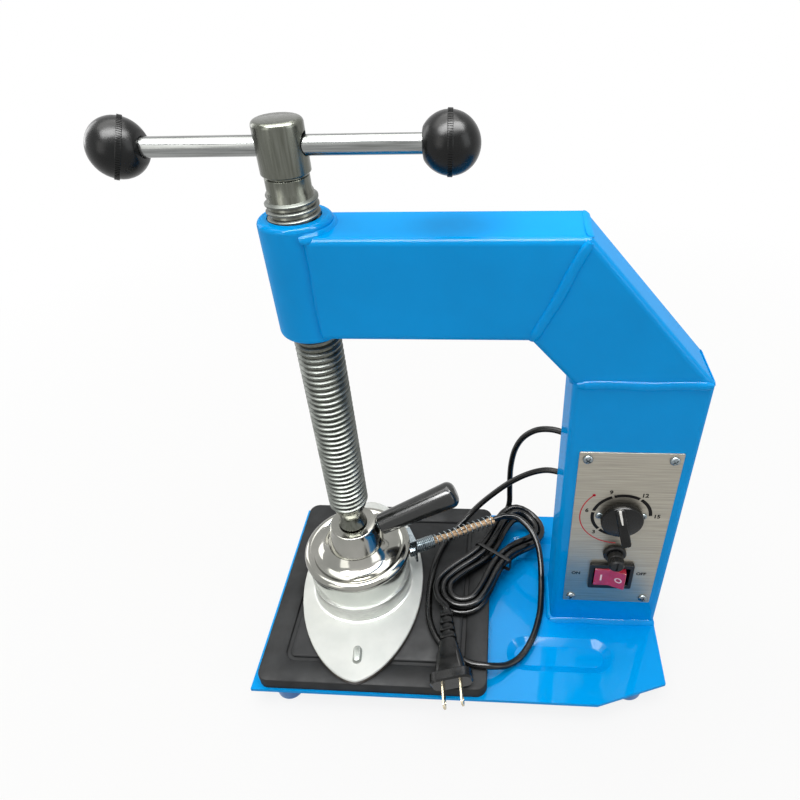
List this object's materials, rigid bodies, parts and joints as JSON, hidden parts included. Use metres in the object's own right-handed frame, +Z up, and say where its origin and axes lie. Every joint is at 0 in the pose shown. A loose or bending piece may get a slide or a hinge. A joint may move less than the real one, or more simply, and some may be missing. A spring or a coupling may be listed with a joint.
{
  "type": "tire_vulcanizer",
  "caption": "Bench tire vulcanizer: a blue welded C-frame press whose screw and tommy bar lower a chromed electric heating head onto a rubber pad, with a timer panel and coiled cord.",
  "frame": {"origin": "under the middle of the press's own box on the floor, the loose cords left out", "axes": "+Z up along the screw, -Y the side with the control panel, +X from the screw to the column"},
  "size_m": [0.328, 0.1949, 0.3893],
  "materials": {
    "blue_paint": "gloss",
    "blue_foot": "satin",
    "pad_rubber": "matte",
    "panel_steel": "brushed",
    "zinc_steel": "satin",
    "chrome_plate": "polished",
    "cast_alloy": "cast",
    "bronze": "satin",
    "black_phenolic": "gloss",
    "black_plastic": "satin",
    "red_plastic": "translucent",
    "cord_vinyl": "satin",
    "wire_sleeve": "woven",
    "mica": "matte",
    "block_plastic": "matte",
    "fuse_glass": "clear",
    "blade_brass": "satin"
  },
  "bodies": {
    "frame": {"base_plate": "blue_paint", "feet": "blue_foot", "rubber_pad": "pad_rubber", "column": "blue_paint", "elbow": "blue_paint", "arm": "blue_paint", "nut_boss": "blue_paint", "weld_beads": "blue_paint", "control_panel": "panel_steel", "panel_screws": "zinc_steel", "timer_body": "black_plastic", "timer_screws": "zinc_steel", "switch_housing": "black_plastic", "fuse_holder": "black_plastic", "fuse_nut": "black_plastic", "mains_gland": "black_plastic", "lead_gland": "black_plastic", "terminal_block": "block_plastic", "inner_wires": "cord_vinyl", "mains_cord": "cord_vinyl", "mains_hank": "cord_vinyl", "hank_tie": "black_plastic", "plug_body": "cord_vinyl", "plug_blades": "blade_brass", "heater_cord": "cord_vinyl"},
    "thrust": {"thrust_washer": "bronze"},
    "screw": {"lead_screw": "zinc_steel"},
    "tommy_bar": {"bar_rod": "chrome_plate", "ball_knobs": "black_phenolic"},
    "heater": {"pivot_cup": "chrome_plate", "grub_screw": "zinc_steel", "chrome_cap": "chrome_plate", "skirt": "chrome_plate", "heating_plate": "cast_alloy", "mica_sheets": "mica", "heating_element": "zinc_steel", "clamp_plate": "zinc_steel", "clamp_screws": "zinc_steel", "thermostat": "black_phenolic", "grip_stem": "zinc_steel", "grip": "black_phenolic", "lead_bracket": "zinc_steel", "lead_nipple": "zinc_steel", "nipple_nut": "zinc_steel", "lead_spring": "zinc_steel", "lead_wires": "wire_sleeve"},
    "dial": {"timer_knob": "black_phenolic", "timer_shaft": "zinc_steel"},
    "switch": {"rocker": "red_plastic"},
    "fuse_carrier": {"fuse_cap": "black_plastic", "fuse": "fuse_glass"}
  },
  "joints": [
    {"name": "head_lift", "type": "slide", "parent": "frame", "child": "thrust", "axis": [0, 0, 1], "range_m": [0, 0.1301]},
    {"name": "screw_turn", "type": "hinge", "parent": "thrust", "child": "screw", "pos_m": [-0.066, 0, 0.3], "axis": [0, 0, 1], "range_deg": [0, 11700]},
    {"name": "bar_slide", "type": "slide", "parent": "screw", "child": "tommy_bar", "axis": [1, 0, 0], "range_m": [-0.054, 0.054]},
    {"name": "heater_swivel", "type": "hinge", "parent": "thrust", "child": "heater", "pos_m": [-0.066, 0, 0.09], "axis": [0, 0, 1], "range_deg": [-15, 8]},
    {"name": "timer_turn", "type": "hinge", "parent": "frame", "child": "dial", "pos_m": [0.124, -0.021, 0.1395], "axis": [0, 1, 0], "range_deg": [-177, 104]},
    {"name": "rocker_tip", "type": "hinge", "parent": "frame", "child": "switch", "pos_m": [0.124, -0.019, 0.0775], "axis": [0, 0, 1], "range_deg": [0, 22]},
    {"name": "fuse_turn", "type": "hinge", "parent": "frame", "child": "fuse_carrier", "pos_m": [0.124, -0.021, 0.102], "axis": [0, 1, 0], "range_deg": [-90, 0]}
  ],
  "couplings": [
    {"joint": "head_lift", "follows": "screw_turn", "m_per_rad": 0.00063662}
  ]
}
